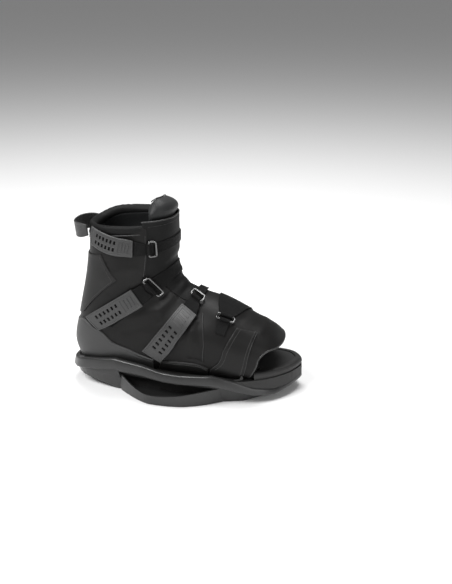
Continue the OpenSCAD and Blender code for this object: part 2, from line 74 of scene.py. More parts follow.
# Height where the upper meets the sole
UPPER_Z = 34.2
# Heights over the skin: the shell's outer face, the overlays' inner face and outer face
SHELL, LAY1, LAY2 = 1.2, 1.5, 2.9
# Heights over the skin: the wire of the rings, that of the toe ring, and the straps' outer face
RING_H, TOE_RING_H, WEB_HIGH = 6.2, 4.8, 4.8
PLATE_LOW = WEB_HIGH + 0.2
# Radius of the rings' wire and inner radius of the webbing sewn round it
WIRE_R = 1.4
SLEEVE_R = WIRE_R + 0.06
# Thicknesses
WEB_T, THIN_WEB_T, PLATE_T, OVERLAY_T = 1.4, 1.2, 2.0, 1.4


def curve4(a, b, c, d, f):
    """The smooth line from b to c, whose neighbours are a and d, at the fraction f."""
    return 0.5 * (2 * b + (c - a) * f + (2 * a - 5 * b + 4 * c - d) * f * f
                  + (3 * b - a - 3 * c + d) * f ** 3)


def section(s):
    """The numbers of the skin's section at s, which runs from 0 at the toe to 1 at the collar."""
    g = np.clip(s, 0, 1) * SPANS
    i = np.minimum(np.floor(g).astype(int), SPANS - 1)
    pick = [SECTIONS[np.clip(i + k, 0, SPANS)] for k in (-1, 0, 1, 2)]
    return curve4(*pick, (g - i)[..., None])


def spow(v, p):
    return np.sign(v) * np.abs(v) ** p


def skin_in(s, t):
    """A point of the skin: t is 0 in front, 90 on the outer side and negative on the inner one."""
    k, a = section(s), np.radians(t)
    p = 2 / np.where(np.cos(a) >= 0, k[..., 7], k[..., 8])
    q, w = spow(np.cos(a), p), spow(np.sin(a), p)
    return np.stack([(k[..., 0] + k[..., 2]) / 2 + q * (k[..., 0] - k[..., 2]) / 2,
                     k[..., 6] - w * np.where(w >= 0, k[..., 4], k[..., 5]),
                     (k[..., 1] + k[..., 3]) / 2 + q * (k[..., 1] - k[..., 3]) / 2], -1)


def skin(s, t):
    """The same, carried straight on above the collar."""
    s, t = np.broadcast_arrays(np.asarray(s, float), np.asarray(t, float))
    top = skin_in(np.ones_like(s), t)
    rise = top - skin_in(np.full_like(s, 1 - 1 / SPANS), t)
    above = np.maximum(s - 1, 0)[..., None] * SPANS
    return np.where((s <= 1)[..., None], skin_in(s, t), top + above * rise)


def unit(v):
    return v / (np.linalg.norm(v, axis=-1, keepdims=True) + 1e-12)


def normal_at(s, t):
    return unit(np.cross(skin(s + 0.004, t) - skin(np.maximum(s - 0.004, 0), t),
                         skin(s, t + 1) - skin(s, t - 1)))


def over(s, t, h):
    """A point at the height h over the skin."""
    s, t, h = np.broadcast_arrays(*(np.asarray(v, float) for v in (s, t, h)))
    return skin(s, t) + h[..., None] * normal_at(s, t)


def meets(s, z):
    """The angle at which a section meets the height z."""
    k = section(np.asarray(s, float))
    q = (2 * z - k[..., 1] - k[..., 3]) / (k[..., 1] - k[..., 3])
    p = np.where(q >= 0, k[..., 7], k[..., 8]) / 2
    a = np.degrees(np.arccos(np.clip(spow(np.maximum(q, -1), p), -1, 1)))
    return np.where(q <= -1, 179.7, np.minimum(a, 179.7))


def reach(pts):
    """The distance along a line to each of its points."""
    return np.concatenate([[0], np.cumsum(np.linalg.norm(np.diff(pts, axis=0), axis=1))])


def length_of(pts):
    return np.linalg.norm(np.diff(pts, axis=0), axis=1).sum()


def look_up(g, d, pts):
    """The points at the places g of a line whose own points stand at the places d."""
    return np.stack([np.interp(g, d, pts[:, k]) for k in range(pts.shape[1])], 1)


def blend(a, b, v):
    """The grid of points that leads from line a to line b by the fractions v."""
    return a[:, None] + (b - a)[:, None] * v[None, :, None]


def trace(pts, n):
    """n + 1 points along a smooth line through the given ones."""
    p = np.asarray(pts, float)
    m = len(p) - 1
    g = np.linspace(0, m, n + 1)
    j = np.minimum(np.floor(g).astype(int), m - 1)
    return curve4(*(p[np.clip(j + k, 0, m)] for k in (-1, 0, 1, 2)), (g - j)[:, None])


def corners(pts, n):
    """Points along an outline with sharp corners."""
    p = np.asarray(pts, float)
    return look_up(np.linspace(0, len(p) - 1, n + 1), np.arange(len(p)), p)


def even(pts, gap):
    """The line through pts again, with a point about every gap."""
    d = reach(pts)
    n = max(2, int(round(d[-1] / gap)))
    return look_up(np.linspace(0, d[-1], n + 1), d, pts)


# ---- Folds of the soft upper ----

def near(p, path):
    """Distance of every point of p from a line on the skin, in millimetres."""
    c = over(*trace(path, 12).T, 0.0)
    best = np.full(p.shape[:-1], 1e9)
    for a, b in zip(c[:-1], c[1:]):
        f = np.clip(((p - a) @ (b - a)) / max((b - a) @ (b - a), 1e-9), 0, 1)
        best = np.minimum(best, np.linalg.norm(p - (a + f[..., None] * (b - a)), axis=-1))
    return best


# Each fold: its line on the skin, how far it stands out, and how wide it is
FOLDS = [
    ([[0.6, 38], [0.585, 8], [0.6, -34]], -1.5, 4.2),
    ([[0.63, 30], [0.625, 0], [0.64, -30]], 1.0, 4.0),
    ([[0.545, 46], [0.535, 12], [0.55, -36]], 1.1, 4.5),
    ([[0.5, 52], [0.49, 20], [0.5, -20]], -0.9, 4.0),
    ([[0.455, 62], [0.45, 30], [0.45, 2]], 1.0, 5.0),
    ([[0.43, 40], [0.425, 10], [0.43, -30]], -0.8, 3.4),
    ([[0.53, 84], [0.5, 74], [0.47, 62]], 1.3, 7.0),
    ([[0.5, 92], [0.46, 84], [0.43, 72]], -0.9, 5.0),
    ([[0.3, 62], [0.285, 80], [0.26, 96]], -1.0, 4.0),
    ([[0.315, 74], [0.3, 92], [0.29, 104]], 0.9, 5.0),
    ([[0.262, 104], [0.285, 103], [0.3, 104]], -0.9, 2.2),
    ([[0.2, -14], [0.19, 8], [0.2, 28]], -0.6, 5.0),
    ([[0.13, 30], [0.12, 0], [0.14, -30]], 0.7, 6.0),
    ([[0.76, 76], [0.77, 90], [0.75, 108]], 1.1, 7.0),
    ([[0.72, 70], [0.7, 84], [0.69, 96]], -0.8, 5.0),
    ([[0.74, 20], [0.76, -4], [0.75, -30]], 0.8, 6.0),
    ([[0.7, 22], [0.7, 0], [0.71, -26]], -0.9, 4.0),
    ([[0.56, -60], [0.54, -80], [0.53, -96]], 0.9, 7.0),
    ([[0.47, -50], [0.45, -70], [0.44, -90]], -0.9, 6.0),
    ([[0.3, -60], [0.28, -80], [0.26, -96]], -0.8, 5.0),
    ([[0.74, -110], [0.72, -124], [0.7, -140]], -0.7, 6.0)]


def folds(s, t):
    """Height of the soft upper's folds and faint waves."""
    p = skin(s, t)
    h = 0.22 * np.sin(p[..., 0] * 0.13 + 1.3 * np.sin(p[..., 2] * 0.07)) * np.sin(
        p[..., 2] * 0.11 + p[..., 1] * 0.05)
    for path, deep, wide in FOLDS:
        h = h + deep * np.exp(-(near(p, path) / wide) ** 2)
    return h


# ---- Making meshes ----

def add(name, data):
    """A new object in the scene."""
    ob = bpy.data.objects.new(name, data)
    scene.collection.objects.link(ob)
    return ob


def piece(name, pts, faces, mat, body, stands_for=(), uv=None, edge=None, smooth=True):
    """An object from points in millimetres, riding its body; the parts it stands for are hidden."""
    me = bpy.data.meshes.new(name)
    me.from_pydata((np.asarray(pts) * 0.001).tolist(), [], [list(map(int, f)) for f in faces])
    if uv is not None:
        layer = me.uv_layers.new(name="UVMap")
        corner = np.zeros(len(me.loops), int)
        me.loops.foreach_get("vertex_index", corner)
        layer.data.foreach_set("uv", np.asarray(uv, np.float32)[corner].ravel())
    if edge is not None:
        wear = me.attributes.new("edge", "FLOAT", "POINT")
        wear.data.foreach_set("value", np.asarray(edge, np.float32))
    me.polygons.foreach_set("use_smooth", np.full(len(me.polygons), smooth))
    me.update()
    ob = add(name, me)
    me.materials.append(mat)
    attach(ob, body)
    if stands_for:
        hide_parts(*stands_for)
    return ob


def grid_faces(n, m, start, flip):
    i, j = np.meshgrid(np.arange(n), np.arange(m), indexing="ij")
    a = (start + i * (m + 1) + j).ravel()
    f = np.stack([a, a + m + 1, a + m + 2, a + 1], 1)
    return f[:, ::-1] if flip else f


def faces_away(top, low, c, d):
    """Whether the order of the top grid's points turns it away from the low one, at one cell."""
    side = np.cross(top[c + 1, d] - top[c, d], top[c, d + 1] - top[c, d])
    return side @ (top[c, d] - low[c, d]) > 0


def closed(top, low):
    """Points and faces of a solid between two grids of points."""
    n, m = top.shape[0] - 1, top.shape[1] - 1
    k = (n + 1) * (m + 1)
    flip = not faces_away(top, low, n // 2, m // 2)
    rim = np.concatenate([np.arange(m + 1), np.arange(1, n + 1) * (m + 1) + m,
                          n * (m + 1) + np.arange(m - 1, -1, -1), np.arange(n - 1, 0, -1) * (m + 1)])
    nxt = np.roll(rim, -1)
    side = np.stack([rim, nxt, nxt + k, rim + k], 1)
    faces = np.concatenate([grid_faces(n, m, 0, flip), grid_faces(n, m, k, not flip),
                            side[:, ::-1] if flip else side])
    return np.concatenate([top.reshape(-1, 3), low.reshape(-1, 3)]), faces


def lines(count, length, marks=()):
    """Fractions along a side: the marks, some close to both ends, and even steps between them."""
    near_end = np.array([0.25, 0.6, 1.1, 1.8]) / max(length, 8)
    found = [0.0, 1.0, *np.clip(marks, 0, 1)]
    for x in [*near_end, *(1 - near_end), *np.linspace(0, 1, count + 1)]:
        if np.abs(np.array(found) - x).min() > 0.14 / length:
            found.append(x)
    return np.unique(found)


def level(line):
    """The same (s, t) line with its points at even distances over the skin."""
    d = reach(over(*line.T, PLATE_LOW))
    return look_up(np.linspace(0, d[-1], len(line)), d, line)


def spans(p):
    """Distances of a grid's points from its four sides, in millimetres."""
    along = np.pad(np.linalg.norm(np.diff(p, axis=0), axis=-1).cumsum(0), ((1, 0), (0, 0)))
    across = np.pad(np.linalg.norm(np.diff(p, axis=1), axis=-1).cumsum(1), ((0, 0), (1, 0)))
    return along, along[-1:] - along, across, across[:, -1:] - across


def rolled(d, r):
    """How far an edge rounded to the radius r falls at the distance d from it, as a fraction."""
    return 1 - np.sqrt(1 - (1 - np.clip(d / r, 0, 1)) ** 2)


def panel(name, a, b, high, thick, mat, body, stands_for=(), step=1.4, roll=1.5,
          lift=None, fold=1.0):
    """A sewn panel over the skin between two lines, with rolled edges."""
    pa, pb = over(*np.asarray(a).T, 0.0), over(*np.asarray(b).T, 0.0)
    length = max(length_of(pa), length_of(pb))
    width = max(np.linalg.norm(pa - pb, axis=1).max(), 4.0)
    u = lines(int(length / step), length)
    v = lines(int(width * 1.15 / step), width)
    g = np.linspace(0, 1, len(a))
    st = blend(look_up(u, g, np.asarray(a)), look_up(u, g, np.asarray(b)), v)
    s, t = st[..., 0], st[..., 1]
    dist = spans(skin(s, t))
    d = np.minimum.reduce(dist)
    h = high - thick * rolled(d, roll) + fold * folds(s, t) * np.clip(d / 2, 0.25, 1)
    base = high - thick - 0.15 + fold * folds(s, t) * 0.25
    if lift is not None:
        extra = lift(s, t, dist)
        h, base = h + extra, base + np.minimum(extra, 0) + np.maximum(extra, 0) * (d < 1.2)
    pts, faces = closed(over(s, t, h), over(s, t, np.minimum(base, h - 0.1)))
    uv = np.stack([dist[0], dist[2]], -1).reshape(-1, 2)
    edge = np.exp(-d / 0.9).ravel()
    return piece(name, pts, faces, mat, body, stands_for,
                 np.concatenate([uv, uv]), np.concatenate([edge, edge]))


def ring_faces(m, k, shut=False):
    """Faces between m rings of k points each; shut joins the last ring to the first."""
    return [[i * k + j, i * k + (j + 1) % k, (i + 1) % m * k + (j + 1) % k, (i + 1) % m * k + j]
            for i in range(m if shut else m - 1) for j in range(k)]


def tube_parts(line, r, sides=10, shut=False):
    """Points and faces of a round cord along a line, with rounded ends."""
    p = np.asarray(line, float)
    n = len(p)
    tan = unit(np.gradient(p, axis=0)) if not shut else unit(np.roll(p, -1, 0) - np.roll(p, 1, 0))
    x = np.cross(tan[0], [0.3, 0.5, 0.81])
    frames = []
    for k in range(n):
        x = unit(x - (x @ tan[k]) * tan[k])
        frames.append((x, np.cross(tan[k], x)))
    a = np.linspace(0, 2 * np.pi, sides, endpoint=False)
    rims = [np.cos(a)[:, None] * e + np.sin(a)[:, None] * f for e, f in frames]
    rings = [p[k] + r * rims[k] for k in range(n)]
    if shut:
        return np.concatenate(rings), ring_faces(n, sides, True)
    for end, way in ((0, -1), (-1, 1)):
        cap = [p[end] + way * tan[end] * r * q + r * w * rims[end] for q, w in ((0.6, 0.8), (0.92, 0.4))]
        rings = cap[::-1] + rings if end == 0 else rings + cap
    pts = np.concatenate(rings + [[p[0] - tan[0] * r], [p[-1] + tan[-1] * r]])
    m = len(rings)
    faces = ring_faces(m, sides)
    faces += [[m * sides, (j + 1) % sides, j] for j in range(sides)]
    faces += [[m * sides + 1, (m - 1) * sides + j, (m - 1) * sides + (j + 1) % sides]
              for j in range(sides)]
    return pts, faces


def tube(name, line, r, mat, body, stands_for=()):
    pts, faces = tube_parts(line, r)
    return piece(name, pts, faces, mat, body, stands_for)


def rounded(ob, width, segments, angle):
    """Rounds the edges of an object that are sharper than the angle; the width is in metres."""
    bevel = ob.modifiers.new("edges", "BEVEL")
    bevel.width, bevel.segments, bevel.limit_method = width, segments, "ANGLE"
    bevel.angle_limit = math.radians(angle)


def joined(name, parts, mat, body, stands_for=(), uv=None):
    """One object from several parts."""
    pts, faces, k = [], [], 0
    for p, f in parts:
        pts.append(p)
        faces += [[k + int(i) for i in q] for q in f]
        k += len(p)
    return piece(name, np.concatenate(pts), faces, mat, body, stands_for, uv)


def on_line(path, h, gap=1.0):
    """Points over the skin along a line given by its (s, t) points."""
    s, t = trace(path, 160).T
    return even(over(s, t, h + folds(s, t)), gap)


def stitches(name, rows, mat, body, pitch, long, r):
    """Rows of sewing, each a short thread that dips in at its ends."""
    parts = []
    for row in rows:
        p = even(np.asarray(row), pitch)
        for a, b in zip(p[:-1], p[1:]):
            d = unit(b - a)
            q = np.stack([a + d * x for x in np.linspace(0.45, 0.45 + long, 4)])
            parts.append(tube_parts(q, r, sides=6))
    return joined(name, parts, mat, body)


# ---- Materials ----

def links(tree, a, b):
    tree.links.new(a, b)


def put(inputs, values):
    for key, v in values.items():
        inputs[key].default_value = v


def node(tree, kind, **values):
    n = tree.nodes.new(kind)
    put(n.inputs, values)
    return n


def calc(tree, op, a, b=None):
    n = node(tree, "ShaderNodeMath")
    n.operation = op
    for k, v in enumerate((a, b)):
        if isinstance(v, (int, float)):
            n.inputs[k].default_value = v
        elif v:
            links(tree, v, n.inputs[k])
    return n.outputs[0]


# Cells per metre of the grains, and the webbing's thread, across and along, in millimetres
CELLS = {"leather": 620.0, "knit": 520.0, "foam": 900.0}
THREAD_WIDE, THREAD_LONG = 0.8, 1.9


def finish_of(name, dark, pale, rough, kind="grain", warm=0.0, metal=0.0, deep=0.3, sheen=0.0,
              worn=0.25, spec=0.5, size=1.0):
    """A procedural material: two close greys in soft patches, fine relief and lighter worn edges."""
    dark, pale = ((v * (1 + warm), v, v * (1 - warm * 0.6)) for v in (dark, pale))
    m = bpy.data.materials.new(name)
    m.use_nodes = True
    tree = m.node_tree
    bsdf = tree.nodes["Principled BSDF"]
    where = node(tree, "ShaderNodeTexCoord").outputs["Object"]

    def times(a, b):
        return calc(tree, "MULTIPLY", a, b)

    def plus(a, b):
        return calc(tree, "ADD", a, b)

    def pattern(texture, **values):
        tex = node(tree, "ShaderNodeTex" + texture, **values)
        links(tree, where, tex.inputs["Vector"])
        return tex.outputs["Distance" if texture == "Voronoi" else "Fac"]

    patch = pattern("Noise", Scale=55.0, Detail=4.0, Roughness=0.6)
    fine = pattern("Noise", Scale=1400.0 / size, Detail=3.0, Roughness=0.55)
    mix, worn_mix = node(tree, "ShaderNodeMix"), node(tree, "ShaderNodeMix")
    mix.data_type = worn_mix.data_type = "RGBA"
    put(mix.inputs, {6: (*dark, 1), 7: (*pale, 1)})
    links(tree, plus(times(patch, 0.65), times(fine, 0.35)), mix.inputs[0])
    edge = node(tree, "ShaderNodeAttribute")
    edge.attribute_name = "edge"
    links(tree, times(edge.outputs["Fac"], times(patch, worn * 2)), worn_mix.inputs[0])
    links(tree, mix.outputs[2], worn_mix.inputs[6])
    put(worn_mix.inputs, {7: (*(min(1, 2.6 * c + 0.01) for c in pale), 1)})
    links(tree, worn_mix.outputs[2], bsdf.inputs["Base Color"])
    relief = fine
    if kind in CELLS:
        relief = plus(times(pattern("Voronoi", Scale=CELLS[kind] / size), 0.9), times(fine, 0.5))
    if kind == "weave":
        split = node(tree, "ShaderNodeSeparateXYZ")
        links(tree, node(tree, "ShaderNodeUVMap").outputs[0], split.inputs[0])
        column = calc(tree, "DIVIDE", split.outputs["Y"], THREAD_WIDE * size)
        shift = times(calc(tree, "FLOOR", column), math.pi)
        along = times(split.outputs["X"], 2 * math.pi / (THREAD_LONG * size))
        row = calc(tree, "SINE", plus(along, shift))
        ridge = calc(tree, "SINE", times(calc(tree, "FRACT", column), math.pi))
        relief = plus(times(plus(times(row, 0.5), 0.7), ridge), times(fine, 0.35))
    if kind == "brushed":
        relief = pattern("Noise", Scale=2600.0, Detail=2.0, Roughness=0.7)
    bump = node(tree, "ShaderNodeBump", Strength=deep, Distance=0.0004 * size)
    links(tree, relief, bump.inputs["Height"])
    links(tree, bump.outputs[0], bsdf.inputs["Normal"])
    gloss = plus(times(patch, 0.16), times(fine, 0.1))
    links(tree, plus(gloss, rough - 0.13), bsdf.inputs["Roughness"])
    put(bsdf.inputs, {"Metallic": metal, "Specular IOR Level": spec, "Sheen Weight": sheen,
                      "Sheen Roughness": 0.45})
    return m


UPPER = finish_of("upper_shell", 0.003, 0.006, 0.5, "leather", warm=0.06, deep=0.22, spec=0.2)
WRAP = finish_of("stretch_fabric", 0.0032, 0.0065, 0.6, "knit", deep=0.22, size=0.8, spec=0.16)
OVERLAY = finish_of("overlay_synthetic", 0.0036, 0.007, 0.45, "leather", warm=0.05, deep=0.18, spec=0.22)
SPINE = finish_of("spine_fabric", 0.006, 0.011, 0.5, "leather", warm=0.03, deep=0.2, spec=0.26)
CUP = finish_of("heel_cup_moulded", 0.017, 0.027, 0.48, deep=0.12)
LINING = finish_of("lining_knit", 0.007, 0.013, 0.75, "knit", warm=-0.05, deep=0.5, sheen=0.05, spec=0.15)
PADDING = finish_of("tongue_padding", 0.01, 0.018, 0.52, "knit", warm=-0.04, deep=0.3, sheen=0.05,
                    size=0.6, spec=0.25)
WEB = finish_of("strap_webbing", 0.003, 0.006, 0.6, "weave", deep=0.8, spec=0.13)
PLATE = finish_of("strap_plate_moulded", 0.02, 0.03, 0.44, deep=0.16, worn=0.45)
LOOP = finish_of("pull_loop_webbing", 0.014, 0.026, 0.42, "weave", deep=0.5, size=0.8)
RAILS = finish_of("chassis_nylon", 0.011, 0.02, 0.32, deep=0.14, size=0.7)
FOAM = finish_of("toe_pad_foam", 0.006, 0.011, 0.6, "foam", warm=0.04, deep=0.35)
BED = finish_of("footbed_fabric", 0.007, 0.012, 0.72, "knit", deep=0.35)
RUBBER = finish_of("grip_rubber", 0.008, 0.013, 0.7, "foam", deep=0.3)
STEEL = finish_of("dark_wire", 0.1, 0.17, 0.26, "brushed", metal=1.0, deep=0.06)
SCREW = finish_of("screw_steel", 0.45, 0.6, 0.32, "brushed", metal=1.0, deep=0.06)
THREAD = finish_of("sewing_thread", 0.035, 0.06, 0.55, deep=0.3)
PIPING = finish_of("edge_binding", 0.009, 0.016, 0.4, deep=0.15)
TAG = finish_of("woven_tag", 0.55, 0.7, 0.6, "knit", deep=0.3, worn=0.0)

# ---- Camera, floor and light ----

# All in metres; the two shifts move the picture's middle off the target
azimuth, elevation, distance = math.radians(16), math.radians(20), 1.5
shift_right, shift_up = 0.0683, 0.01365
back = Vector((math.sin(azimuth) * math.cos(elevation), -math.cos(azimuth) * math.cos(elevation),
               math.sin(elevation)))
right = Vector((math.cos(azimuth), math.sin(azimuth), 0))
target = Vector((0, 0, 0.12))
camera = add("camera", bpy.data.cameras.new("camera"))
camera.location = target + back * distance
aim = target + right * shift_right + back.cross(right) * shift_up
camera.rotation_euler = (aim - camera.location).to_track_quat("-Z", "Y").to_euler()
camera.data.lens = 65.79
camera.data.sensor_width = 36
camera.data.clip_start, camera.data.clip_end = 0.05, 50
scene.camera = camera


def softbox(name, place, size, power):
    """A rectangular lamp that looks at the boot."""
    lamp = bpy.data.lights.new(name, "AREA")
    lamp.shape = "RECTANGLE"
    lamp.size, lamp.size_y = size
    lamp.energy = power
    ob = add(name, lamp)
    ob.location = place
    ob.rotation_euler = (Vector((0, 0, 0.1)) - Vector(place)).to_track_quat("-Z", "Y").to_euler()


softbox("key", (-0.9, -1.0, 1.5), (1.1, 0.8), 40)
softbox("fill", (1.5, -1.3, 0.7), (1.2, 1.0), 12)
softbox("top", (0.1, 0.5, 1.9), (1.4, 0.8), 34)
world = bpy.data.worlds.new("studio")
scene.world = world
world.use_nodes = True
put(world.node_tree.nodes["Background"].inputs, {0: (1, 1, 1, 1), 1: 0.22})
scene.view_settings.view_transform = "Standard"

FLOOR_HALF, FLOOR_Z = 8, -0.0004
floor_mesh = bpy.data.meshes.new("floor")
floor_mesh.from_pydata([(FLOOR_HALF * x, FLOOR_HALF * y, FLOOR_Z)
                        for x, y in ((-1, -1), (1, -1), (1, 1), (-1, 1))], [], [(0, 1, 2, 3)])
floor = add("floor", floor_mesh)
pale = bpy.data.materials.new("studio_floor")
pale.use_nodes = True
put(pale.node_tree.nodes["Principled BSDF"].inputs,
    {"Base Color": (0.9, 0.9, 0.9, 1), "Roughness": 0.9})
floor_mesh.materials.append(pale)
floor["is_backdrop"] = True

# ---- Soft shell ----

def drop_to(line, z, side=1):
    """The line below another one, at the height z on one side of the boot."""
    return np.stack([line[:, 0], side * meets(line[:, 0], z)], 1)


front_outer = np.concatenate([trace([[0.335, 34], [0.45, 35], [0.6, 37], [0.665, 42]], 60)[:-1],
                              trace([[0.665, 42], [0.685, 55], [0.71, 59.5], [0.85, 60.5],
                                     [0.97, 61.5], [0.985, 63.5], [0.992, 67]], 60)])


def wrap_lift(s, t, dist):
    """The shell's front edge rises over the stretch wrap above the instep."""
    return 2.6 * np.clip((s - 0.66) / 0.05, 0, 1) * np.clip((84 - np.abs(t)) / 20, 0, 1)


panel("quarter_outer_shell", drop_to(front_outer, UPPER_Z), front_outer, SHELL, 2.4, UPPER, "boot",
      ["quarter_lateral"], lift=wrap_lift, step=1.5)
front_inner = trace([[0.335, -34], [0.45, -34], [0.6, -36], [0.8, -40], [0.992, -46]], 80)
panel("quarter_inner_shell", front_inner, drop_to(front_inner, UPPER_Z, -1), SHELL, 2.4, UPPER,
      "boot", ["quarter_medial"], step=1.6)
TOE_EDGE = [[0.16, 146], [0.12, 88], [0.045, 45], [0.012, 12], [0.015, -12], [0.05, -45],
            [0.11, -88], [0.15, -146]]
toe = trace(TOE_EDGE, 120)
edge = meets(toe[:, 0], UPPER_Z)
toe[:, 1] = np.clip(toe[:, 1], -edge, edge)
rear_t = np.linspace(1, -1, 121) * float(meets(0.345, UPPER_Z))
panel("vamp_shell", toe, np.stack([np.full(121, 0.345), rear_t], 1), SHELL - 0.2, 2.2, UPPER,
      "boot", ["vamp"], step=1.5)
tube("toe_edge_binding", on_line(toe[6:-6:4], SHELL - 0.9, 1.2), 1.25, PIPING, "boot")
edge = corners([[0.33, 33], [0.99, 44]], 60)
panel("instep_gusset", edge, edge * [1, -1], 0.5, 1.6, WRAP, "boot", ["gusset"],
      step=1.8)
WRAP_OUT = [[0.55, 50], [0.7, 60], [0.8, 64], [0.9, 66], [0.99, 68], [1.03, 69]]
WRAP_IN = [[0.52, -60], [0.66, -78], [0.78, -84], [0.9, -86], [0.99, -86], [1.03, -78]]
panel("front_wrap_panel", trace(WRAP_OUT, 80), trace(WRAP_IN, 80), LAY2, 1.3, WRAP, "boot",
      ["front_wrap"], step=1.5)
tube("wrap_top_binding", on_line([[1.03, 69], [1.03, 60], [1.031, 20], [1.031, -30], [1.03, -78]],
                                 LAY2 - 0.7, 1.2), 1.1, PIPING, "boot")

# ---- Padding: collar, lining, tongue ----

def bake(ob):
    """Turns an object's modifiers into its mesh."""
    graph = bpy.context.evaluated_depsgraph_get()
    ob.data = bpy.data.meshes.new_from_object(ob.evaluated_get(graph))
    ob.modifiers.clear()


def puff(ob, voxel, pressure, cap):
    """Swells a closed mesh with the cloth solver, its points held within cap of where they began."""
    remesh = ob.modifiers.new("remesh", "REMESH")
    remesh.mode, remesh.voxel_size = "VOXEL", voxel
    bake(ob)
    rest = np.array([v.co for v in ob.data.vertices])
    cloth = ob.modifiers.new("cloth", "CLOTH")
    cloth.settings.use_pressure = True
    cloth.settings.uniform_pressure_force = pressure
    cloth.settings.tension_stiffness = cloth.settings.compression_stiffness = 30
    cloth.settings.bending_stiffness = 1.2
    cloth.settings.effector_weights.gravity = 0
    for f in range(1, 21):
        scene.frame_set(f)
    graph = bpy.context.evaluated_depsgraph_get()
    now = np.array([v.co for v in ob.evaluated_get(graph).data.vertices])
    ob.modifiers.clear()
    scene.frame_set(1)
    move = now - rest
    size = np.linalg.norm(move, axis=1, keepdims=True)
    rest = rest + move * np.minimum(1, cap / np.maximum(size, 1e-9))
    ob.data.vertices.foreach_set("co", rest.astype(np.float32).ravel())
    smooth = ob.modifiers.new("smooth", "SUBSURF")
    smooth.levels = smooth.render_levels = 1
    bake(ob)
    ob.data.polygons.foreach_set("use_smooth", np.full(len(ob.data.polygons), True))
    ob.data.update()


def roll_parts(ts, profile):
    """A closed roll along the rim: profile gives (s, height) round it for each angle t."""
    rings = np.array([[over(s, t, h) for s, h in profile(t)] for t in ts])
    n, m = rings.shape[:2]
    pts = rings.reshape(-1, 3)
    faces = ring_faces(n, m)
    faces += [list(range(m))[::-1], [(n - 1) * m + j for j in range(m)]]
    return pts, faces


def rim_rise(t):
    """The collar stands a little higher on the inner side."""
    a = np.mod(t, 360)
    x = np.clip((a - 185) / 60, 0, 1) * np.clip((335 - a) / 30, 0, 1)
    return 0.026 * x * x * (3 - 2 * x)


def collar_profile(t):
    """The padded roll's section: full round the back, slimmer at its two front ends."""
    end = np.clip(min(t - 60.5, 300 - t) / 7.0, 0, 1) ** 0.5
    fat = 0.35 + 0.65 * end
    up = float(rim_rise(t))
    low = SHELL + 0.2
    line = [(0.949, low), (0.958, low + 1.1 * fat), (0.972, low + 1.6 * fat), (0.99, low + 1.5 * fat),
            (1.003, low + 0.5 * fat), (1.008, -1.0), (1.002, -4.0), (0.994, -7.4), (0.975, -9.0),
            (0.955, -8.4), (0.945, -6.5), (0.944, -2.0), (0.946, 0.6)]
    return [(a + up * (1 if b < -5 or a > 0.97 else 0.3), b) for a, b in line]


pts, faces = roll_parts(np.linspace(61, 299, 96), collar_profile)
collar = piece("collar_roll", pts, faces, WRAP, "boot", ["collar_band"])
puff(collar, 0.0022, 2.5, 0.0008)
collar_foot = [[0.947, 62], [0.947, 90], [0.946, 140], [0.946, 180], [0.946, 220], [0.947, 270],
               [0.947, 298]]
tube("collar_piping", on_line(collar_foot, SHELL + 0.9, 1.2), 0.9, PIPING, "boot")

# The inner boot: one thick shell from the footbed's height, with sewn channels on its inner face
CHANNELS = [[[0.42, 62], [0.6, 74], [0.8, 84], [0.96, 88]], [[0.56, 150], [0.75, 156], [0.96, 160]],
            [[0.84, 88], [0.85, 130], [0.85, 158]]]
LINING_OUT, LINING_IN, LINING_Z = -2.2, -8.4, 45.5
v = np.linspace(1, -1, 151)
run_s = np.linspace(0.27, 0.962, 60)
t = meets(run_s, LINING_Z)[:, None] * v[None]
s = np.repeat(run_s[:, None], len(v), 1)
s = s + rim_rise(t) * np.clip((s - 0.85) / 0.11, 0, 1)
groove = np.zeros_like(s)
for path in CHANNELS:
    for side in (1, -1):
        groove += np.exp(-(near(skin(s, t), np.array(path) * [1, side]) / 1.5) ** 2)
crown = 0.7 * np.sin(s * 70) * np.cos(np.radians(t * 2))
pts, faces = closed(over(s, t, LINING_IN - 0.5 * crown + 1.7 * np.minimum(groove, 1)),
                    over(s, t, LINING_OUT))
inner_boot = piece("lining_padded", pts, faces, LINING, "boot", ["liner"])

# Height of the tongue's outer face: inside the shell, its padding and a small gap
TONGUE_H = -SHELL - 6.8 - 0.8
edge = trace([[0.4, 30], [0.7, 38], [1.005, 58]], 60)
panel("tongue_sheet", edge, edge * [1, -1], TONGUE_H, 5.6, LINING, "tongue_flap",
      ["tongue"], step=1.8, fold=0.0, roll=2.8)
# The tongue's padded top: its crest, heights in millimetres, stands over the collar
COLLAR_Z, MM_PER_S = 243, 180
pad_t = np.linspace(58, -58, 45)
crest = np.interp(pad_t, [-58, -45, -30, -15, 0, 10, 30, 45, 50, 58],
                  [250, 259, 267, 271, 273.5, 274, 274, 271, 268.5, 262])
v = np.linspace(0, 1, 21)
rise = np.interp(v, [0, 0.2, 0.45, 0.7, 0.88, 1], [0, 0.26, 0.56, 0.8, 0.94, 1])
s = 0.985 + ((crest - COLLAR_Z) / MM_PER_S + 0.015)[:, None] * rise
t = np.repeat(pad_t[:, None], len(v), 1)
taper = np.clip(np.cos(np.radians(pad_t * 1.5)), 0, 1)[:, None] ** 0.35
face_out = np.interp(v, [0, 0.12, 0.3, 0.45, 0.6, 0.75, 0.88, 1],
                     [-8.4, -4, 0.4, 2.4, 1, -3, -8.5, -14.5])
face_in = np.interp(v, [0, 0.3, 0.6, 0.85, 1], [-13.6, -14, -16, -17.5, -17.5])
mid_face = (face_out + face_in) / 2
front = over(s, t, mid_face + (face_out - mid_face) * taper)
rear = over(s, t, mid_face + (face_in - mid_face) * taper)
pts, faces = closed(front, rear)
pad = piece("tongue_pad", pts, faces, PADDING, "tongue_flap", ["tongue_top"])
puff(pad, 0.0024, 3.0, 0.0016)
rim = (front[4:-4, -1] + rear[4:-4, -1]) / 2
